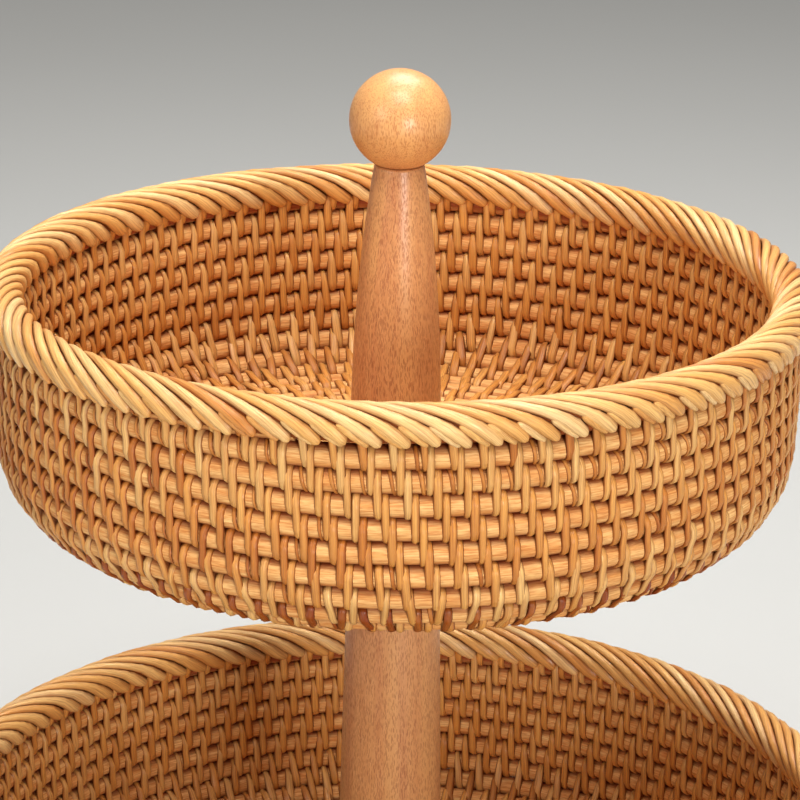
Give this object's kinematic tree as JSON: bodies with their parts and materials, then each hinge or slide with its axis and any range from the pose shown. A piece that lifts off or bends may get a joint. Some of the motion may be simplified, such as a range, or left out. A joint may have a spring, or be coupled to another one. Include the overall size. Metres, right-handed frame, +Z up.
{
  "type": "tiered fruit stand",
  "caption": "Tiered fruit stand: round coiled rattan baskets with wrapped rims on a turned wooden post, whose upper part unscrews and ends in a ball.",
  "frame": {"origin": "on the post's axis, on the surface that the lower basket stands on", "axes": "+Z up along the post, -Y towards the picture's viewer, +X to that viewer's right"},
  "size_m": [0.2998, 0.2998, 0.3128],
  "materials": {
    "rattan": "honey rattan, satin",
    "rim_rattan": "pale straw rattan, semi-gloss",
    "post_wood": "clear-coated pinkish tan hardwood with short dark pores",
    "ball_wood": "clear-coated honey hardwood with fine dark pores",
    "zinc_steel": "zinc plated",
    "brass": "plain"
  },
  "bodies": {
    "stand": {"lower_floor_coil": "rattan", "lower_wall_coil": "rattan", "lower_rim_core": "rattan", "lower_rim_wrap": "rim_rattan", "base_screw": "zinc_steel", "base_washer": "zinc_steel", "foot_washer": "zinc_steel", "lower_post": "post_wood", "lower_post_foot_insert": "brass", "lower_post_top_insert": "brass", "seat_washer": "zinc_steel"},
    "upper_basket": {"upper_floor_coil": "rattan", "upper_wall_coil": "rattan", "upper_rim_core": "rattan", "upper_rim_wrap": "rim_rattan"},
    "clamp_washer": {"handle_washer": "zinc_steel"},
    "handle": {"upper_post": "post_wood", "joining_stud": "zinc_steel", "finial_dowel": "post_wood", "finial_ball": "ball_wood"}
  },
  "joints": [
    {"name": "upper_basket_turn", "type": "hinge", "parent": "stand", "child": "upper_basket", "pos_m": [0, 0, 0.1835], "axis": [0, 0, 1], "continuous": true},
    {"name": "handle_rise", "type": "slide", "parent": "stand", "child": "clamp_washer", "axis": [0, 0, 1], "range_m": [0, 0.012]},
    {"name": "handle_turn", "type": "hinge", "parent": "clamp_washer", "child": "handle", "pos_m": [0, 0, 0.191], "axis": [0, 0, 1], "range_deg": [0, 4320]}
  ],
  "couplings": [
    {"joint": "handle_rise", "follows": "handle_turn", "m_per_rad": 0.00015915}
  ]
}
